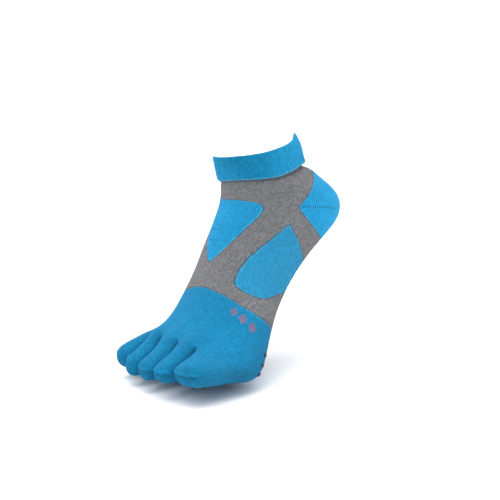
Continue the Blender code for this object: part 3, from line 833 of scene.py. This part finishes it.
# A row of three small mauve diamonds knitted in behind the big toe: middle column and row of
# the first, columns and rows to the next, half width and half height
first_column, first_row, next_column, next_row, half_width, half_height = 21.5, 146.5, -5.2, 2.6, 2.2, 4.6
mauve = (0.33, 0.20, 0.36)
tree = blue_toe_knit.node_tree
split = add_node(tree, "ShaderNodeSeparateXYZ", {0: tree.nodes["UV Map"].outputs["UV"]}).outputs
stitch_column = add_math(tree, "FLOOR", product(tree, split["X"], toe_columns))
stitch_column = add_math(tree, "DIVIDE", add_math(tree, "ADD", stitch_column, 0.5), toe_columns)
stitch_row = add_math(tree, "FLOOR", split["Y"])
place_in_row = scaled(tree, stitch_column, 1.0 / next_column, 0.5 - first_column / next_column)
number = add_math(tree, "FLOOR", place_in_row)
in_place = add_math(tree, "ABSOLUTE", add_math(tree, "SUBTRACT", add_math(tree, "FRACT", place_in_row), 0.5))
middle_row = scaled(tree, number, next_row, first_row)
off_row = add_math(tree, "ABSOLUTE", add_math(tree, "SUBTRACT", stitch_row, middle_row))
share_out = product(tree, in_place, -next_column / half_width)
share_out = scaled(tree, off_row, 1.0 / half_height, share_out)
in_diamond = add_math(tree, "LESS_THAN", share_out, 1.0)
in_row = add_math(tree, "COMPARE", number, 1.0, 1.1)
diamond_mask = product(tree, product(tree, in_diamond, in_row), 0.85)
toned = tree.nodes["Vector Math"]
with_diamonds = mix_colours(tree, diamond_mask, toned.inputs[0].links[0].from_socket, mauve)
tree.links.new(with_diamonds, toned.inputs[0])
toe_section = knit_piece("blue_toe_section", zones["toe"], (blue_toe_knit, inside_knit))
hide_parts("toe_section")
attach(toe_section, "root")

# Instep panel.
# A blue leaf knitted over the front of the ankle, where the sock bends. It shows a few
# short wrinkles at the front: two clear ones and a faint one under them.
blue_instep_knit = knit_material(
    "blue_instep_knit", (0.014, 0.36, 0.7), (0.02, 0.315, 0.62), blue_edge, 1.1,
    0.75, 0.75, 0.0005, 0.24, 0.42,
    # Lines of painted shade along the wrinkles
    lines=(
        (53.0, 6.5, 65.6, 0.10, 1.3, 0.0, 0.22), (50.5, 6.0, 78.3, 0.08, 1.3, 0.0, 0.22),
        (46.0, 4.5, 85.0, -0.05, 1.1, 0.0, 0.12),
    ),
)
instep_panel = knit_piece("blue_instep_panel", zones["instep"], (blue_instep_knit, inside_knit))
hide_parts("instep_panel")
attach(instep_panel, "root")

# Arch panel.
# A blue leaf on each side of the arch, joined under the sole, that lifts the arch.
# Set lighter than the toe section's blue, partly as painted light for the light on the arch
blue_arch_knit = knit_material(
    "blue_arch_knit", (0.026, 0.398, 0.735), (0.032, 0.345, 0.64), blue_edge, 1.1,
    1.0, 0.75, 0.0006, 0.28, 0.50,
)
arch_panel = knit_piece("blue_arch_panel", zones["arch"], (blue_arch_knit, inside_knit))
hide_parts("arch_panel")
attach(arch_panel, "root")

# Heel pocket.
# The heel is knitted to and fro as a pouch of its own, so it has more rows than the
# front of the ankle and a line of open stitches where the two halves of the pouch meet.
# Set lighter than the toe section's blue, partly as painted light for the brighter light on the heel
blue_heel_knit = knit_material(
    "blue_heel_knit", (0.011, 0.43, 0.83), (0.016, 0.375, 0.74), blue_edge, 1.1,
    0.75, 1.0, 0.0006, 0.24, 0.50,
    lines=(
        (4.0, 8.0, 40.56, -0.21, 1.1, 0.66, 0.75), (184.5, 9.5, 42.9, -0.20, 1.1, 0.66, 0.75),
        (97.0, 15.0, 41.6, 0.21, 1.1, 0.66, 0.75),
    ),
)
heel_pocket = knit_piece("blue_heel_pocket", zones["heel"], (blue_heel_knit, inside_knit))
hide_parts("heel_pocket")
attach(heel_pocket, "root")

# Cuff.
# A double welt: ribbed elastic knit folded over at the top edge and joined to the sock
# at its lower edge, which stands a little proud of the grey knit.
cuff_columns = 384
cuff_turns = (
    # station, inset share of the wall: up the outside, over the top, down the inside
    (1.035, 0.62), (1.05, 0.36), (1.04, 0.14), (1, 0.02), (0.94, -0.03), (0.86, 0), (0.72, 0),
    (0.58, 0), (0.44, 0), (0.3, 0), (0.18, 0), (0.09, 0), (0.03, 0.03), (-0.008, 0.12),
    (-0.03, 0.28), (-0.038, 0.48), (-0.03, 0.7), (-0.005, 0.88), (0.05, 0.97), (0.15, 1), (0.35, 1),
    (0.6, 1), (0.82, 1), (0.96, 1), (1.03, 0.88),
)

# How far the rim and the hem rise over an even band, in millimetres by degrees round it.
# The rim has a small tab behind the ankle and a corner in front, and the hem is drawn up
# at the back.
rim_rise = (
    (0, 1.8), (10, 1.6), (20, 1.3), (30, 0.8), (45, 0.3), (60, 0), (80, -0.3), (97, 0), (110, 0.9),
    (120, 1.8), (131, 1.8), (143, 0.8), (165, 0), (230, -0.4), (240, -1), (250, -1.8), (270, -2.3),
    (280, -2), (288, -1.1), (294, 0.4), (300, 2.6), (306, 4.3), (313, 4.9), (320, 4.6), (326, 3.2),
    (332, 2.2), (340, 2), (360, 1.8),
)
hem_rise = (
    (0, 1.3), (10, 0.4), (20, -0.3), (40, -0.9), (60, -1.2), (80, -1.4), (100, -1.4), (115, -0.6),
    (132, 1), (150, 0.5), (200, 0), (280, 1.2), (300, 2.2), (315, 2.9), (330, 3.1), (345, 2.6),
    (360, 1.3),
)
# How far the band stands out at its two ends in the picture, and its rim alone, in
# millimetres by degrees
band_flare = (
    (0, 0.3), (60, 0), (100, 0.3), (125, 0.9), (150, 0.4), (200, 0), (280, 0.3), (315, 0.6), (335, 0.4),
    (360, 0.2),
)
rim_flare = (
    (0, 0), (60, 0), (100, 0.3), (125, 1), (150, 0.4), (200, 0), (285, 0), (300, -1.2), (315, -1.6),
    (328, -0.9), (345, 0), (360, 0),
)


def cuff_row(station):
    low = max(0.0, min(1.0, station))
    row = section_at(low)
    slope = [b - a for a, b in zip(sections[0], sections[1])]
    return [value + rate * (station - low) for value, rate in zip(row, slope)]


# Depth of the ribs and height of slow waves of the rim in metres, how fast the rim's rise
# fades down the band, and over which share of the band the rim's flare fades
rib_depth = 0.00008
cuff_wander = 0.00025
rise_fade = 1.3
flare_share = 0.35
# Painted shade in the middle of the band's inner side, and painted light towards its ends:
# degrees of the middle, and their reach
painted_shade_middle = 66.0
painted_shade_reach = 44.0

cuff_angles = [2.0 * math.pi * k / cuff_columns for k in range(cuff_columns)]
cuff_degrees = np.degrees(cuff_angles)
rim_rises, hem_rises, band_flares, rim_flares = (
    np.interp(cuff_degrees, *zip(*table)) * 0.001 for table in (rim_rise, hem_rise, band_flare, rim_flare)
)
cuff_spots = []
hem_edge = []
cuff_painted_light_and_shade = []
for station, inset in cuff_turns:
    row = cuff_row(station)
    down = max(0.0, min(1.0, station))
    band_share = min(1.0, down / flare_share)
    rises = rim_rises * (1.0 - down) ** rise_fade + hem_rises * down
    flares = rim_flares * (1.0 - band_share) + band_flares * band_share
    # The hem is lighter than the band: its distance to the edge, in millimetres, by station
    hem_edge.extend([np.interp(station, (0.86, 0.94, 1.0), (9.0, 1.3, 0.1))] * cuff_columns)
    for k, angle in enumerate(cuff_angles):
        rib = rib_depth * math.cos(math.pi * k)
        wander = cuff_wander * noise.noise(Vector((math.cos(angle) * 4.0, math.sin(angle) * 4.0, 3.0)))
        spot = section_spot(row, angle, 0.0, inset * cuff_wall + rib * (1.0 - inset) - flares[k])
        cuff_spots.append(spot + Vector((0.0, 0.0, wander + rises[k])))
        # Painted light and shade round the band
        off_middle = (cuff_degrees[k] - painted_shade_middle + 180.0) % 360.0 - 180.0
        cuff_painted_light_and_shade.append(0.13 - 0.24 * math.exp(-(off_middle / painted_shade_reach) ** 2) * (1.0 - 0.6 * down))
cuff_faces = []
cuff_stitches = []
cuff_step = columns_round / cuff_columns
high = 0.0
for number in range(len(cuff_turns)):
    here = number * cuff_columns
    beyond = ((number + 1) % len(cuff_turns)) * cuff_columns
    low = high
    high = low + (cuff_spots[here] - cuff_spots[beyond]).length / course_height
    for k in range(cuff_columns):
        n = (k + 1) % cuff_columns
        cuff_faces.append((here + k, here + n, beyond + n, beyond + k))
        left = k * cuff_step
        right = (k + 1) * cuff_step
        cuff_stitches.append(((left, low), (right, low), (right, high), (left, high)))
cuff_mesh = stitched_mesh("blue_cuff", cuff_spots, cuff_faces, cuff_stitches)
add_attribute(cuff_mesh, "zone_edge", hem_edge)
add_attribute(cuff_mesh, "painted_light_and_shade", cuff_painted_light_and_shade)
cuff_mesh.polygons.foreach_set("use_smooth", [True] * len(cuff_faces))
# Set lighter than the toe section's blue, partly as painted light for the light on the cuff
blue_cuff_knit = knit_material(
    "blue_cuff_knit", (0.01, 0.43, 0.83), (0.01, 0.3, 0.59), ((0.13, 0.46, 0.7), (0.08, 0.43, 0.75)), 0.8,
    1.0, 0.75, 0.0007, 0.36, 0.60,
)
cuff_mesh.materials.append(blue_cuff_knit)
cuff = add_object("blue_cuff", cuff_mesh)
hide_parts("cuff")
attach(cuff, "root")

# Grip dots.
# Drops of dark silicone printed on the sole under the ball and under the toes, so the
# foot doesn't slip. Each is a low dome with a slightly spread foot.
dot_diameter = 0.0034
dot_height = 0.0009
dot_sink = 0.00015
# Rows under the ball: section station, and degrees of the first and last dot
dot_rows = ((10.88, -4.0, -168.0), (11.35, -6.0, -166.0), (11.78, -14.0, -160.0), (12.30, -62.0, -152.0))
dot_shares = (0.0, 0.22, 0.36, 0.48, 0.60, 0.73, 0.86, 1.0)
# Toe, share of its length, share of its width
toe_dots = ((0, 0.60, 0.16), (0, 0.72, 0.0), (1, 0.56, -0.16), (2, 0.58, 0.0), (3, 0.60, 0.0), (4, 0.64, 0.0))
# Each dot is placed by a ray from inside the foot, this share of the way out to the side
ray_start = 0.72

silicone, tree, shader = new_material("grip_silicone", {"Coat Weight": 0.15, "Coat Roughness": 0.4})
place = tree.nodes.new("ShaderNodeTexCoord").outputs["Object"]
grain = add_node(tree, "ShaderNodeTexNoise", {"Vector": place, "Scale": 900.0, "Detail": 3.0}).outputs["Fac"]
silicone_tone = mix_colours(tree, grain, (0.008, 0.010, 0.022), (0.030, 0.036, 0.062))
tree.links.new(silicone_tone, shader.inputs["Base Color"])
tree.links.new(scaled(tree, grain, 0.3, 0.38), shader.inputs["Roughness"])
relief = add_node(tree, "ShaderNodeBump", {"Distance": 0.00008, "Height": grain})
tree.links.new(relief.outputs["Normal"], shader.inputs["Normal"])

bpy.ops.mesh.primitive_uv_sphere_add(segments=20, ring_count=12, radius=dot_diameter / 2.0)
dome = bpy.context.object
bpy.ops.object.mode_set(mode="EDIT")
bpy.ops.mesh.select_all(action="SELECT")
bpy.ops.mesh.bisect(plane_co=(0.0, 0.0, 0.0), plane_no=(0.0, 0.0, 1.0), use_fill=True, clear_inner=True)
bpy.ops.mesh.select_all(action="SELECT")
bpy.ops.transform.resize(value=(1.0, 1.0, dot_height / (dot_diameter / 2.0)))
bpy.ops.object.mode_set(mode="OBJECT")
bpy.ops.object.shade_smooth()
dome.data.materials.append(silicone)
dome_mesh = dome.data
bpy.data.objects.remove(dome, do_unlink=True)

sole = BVHTree.FromPolygons([Vector(p) for p in sheet_spots], [tuple(q) for q in sheet_quads.tolist()])
dot_rays = []
for station, first, last in dot_rows:
    row = section_at(station)
    centre, half, width, side = section_axes(row)
    for share in dot_shares:
        angle = math.radians(first + (last - first) * share)
        target = section_spot(row, angle, 0.0)
        inside = centre + side * (ray_start * width * math.cos(angle)) - half * (0.5 * row[11])
        dot_rays.append((inside, (target - inside).normalized()))
for index, share, across in toe_dots:
    toe = toes[index]
    inside = toe_middle(toe, toe_roots[index], share)
    inside = inside + toe_directions(toe)[0] * (across * toe[2] * ball_width)
    dot_rays.append((inside, Vector((0.0, 0.0, -1.0))))
for number, (inside, direction) in enumerate(dot_rays, start=1):
    spot, normal, _face, _reach = sole.ray_cast(inside, direction)
    if normal.dot(direction) < 0.0:
        normal = -normal
    dot_mesh = dome_mesh.copy()
    dot_mesh.transform(normal.to_track_quat("Z", "Y").to_matrix().to_4x4())
    dot_mesh.transform(Matrix.Translation(spot - normal * dot_sink))
    dot = add_object("silicone_dot_%02d" % number, dot_mesh)
    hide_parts("grip_dot_%02d" % number)
    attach(dot, "root")

# The room.
# A pale sweep under and behind the sock, large soft lamps, and the camera of the picture.
camera_place = Vector((0.6563, -0.7613, 0.1140))
camera_look = Vector((-0.6452, 0.7422, -0.1813))
view_ahead = Vector((camera_look.x, camera_look.y, 0.0)).normalized()
view_right = Vector((view_ahead.y, -view_ahead.x, 0.0))

# The sweep in metres: its near end, where it bends up, the bend's radius, its top and half width
sweep_near, sweep_bend, sweep_radius, sweep_top, sweep_half = -3.0, 0.8, 0.9, 4.0, 4.0
bend_steps = 12
lowest = min(float(sheet_spots[:, 2].min()) - dot_height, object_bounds()[0][2])
sweep_profile = [(sweep_near, 0.0), (sweep_bend, 0.0)]
for step in range(1, bend_steps + 1):
    bend = math.radians(90.0 * step / bend_steps)
    rise = sweep_radius * (1.0 - math.cos(bend))
    sweep_profile.append((sweep_bend + sweep_radius * math.sin(bend), rise))
sweep_profile.append((sweep_bend + sweep_radius, sweep_top))
sweep_spots = []
for reach, rise in sweep_profile:
    for across in (-sweep_half, sweep_half):
        sweep_spots.append(view_ahead * reach + view_right * across + Vector((0.0, 0.0, lowest + rise)))
sweep_faces = [(2 * n, 2 * n + 1, 2 * n + 3, 2 * n + 2) for n in range(len(sweep_profile) - 1)]
sweep_mesh = bpy.data.meshes.new("pale_sweep")
sweep_mesh.from_pydata([tuple(p) for p in sweep_spots], [], sweep_faces)
sweep_mesh.polygons.foreach_set("use_smooth", [True] * len(sweep_faces))
sweep = add_object("pale_sweep", sweep_mesh)
paper, _tree, _shader = new_material("pale_paper", {"Base Color": (0.93, 0.93, 0.93, 1.0), "Roughness": 0.9})
sweep_mesh.materials.append(paper)

# Lamps: name, place ahead, to the right and above the sock's middle, width, and power in watts
lamps = (
    ("soft_key", -0.5, -0.8, 1.4, 2.2, 22.5),
    ("soft_side", 0.5, 1.3, 0.5, 1.2, 5.5),
    ("soft_top", 0.3, 0.0, 1.6, 2.2, 29.0),
)
sock_middle = Vector((0.011, -0.019, -0.067))
for name, ahead, right, above, width, power in lamps:
    offset = view_ahead * ahead + view_right * right + Vector((0.0, 0.0, above))
    lamp_data = bpy.data.lights.new(name, "AREA")
    lamp_data.size = width
    lamp_data.energy = power
    lamp = add_object(name, lamp_data)
    lamp.location = sock_middle + offset
    lamp.rotation_euler = (-offset).to_track_quat("-Z", "Y").to_euler()

sky = bpy.data.worlds.new("soft_sky")
sky.use_nodes = True
sky.node_tree.nodes["Background"].inputs["Color"].default_value = (1.0, 1.0, 1.0, 1.0)
sky.node_tree.nodes["Background"].inputs["Strength"].default_value = 0.68
bpy.context.scene.world = sky
bpy.context.scene.view_settings.view_transform = "Standard"

camera_data = bpy.data.cameras.new("picture_camera")
camera_data.lens = 104.86
camera_data.sensor_width = 36.0
camera_data.clip_start = 0.01
camera = add_object("picture_camera", camera_data)
camera.location = camera_place
camera.rotation_euler = camera_look.to_track_quat("-Z", "Y").to_euler()
bpy.context.scene.camera = camera
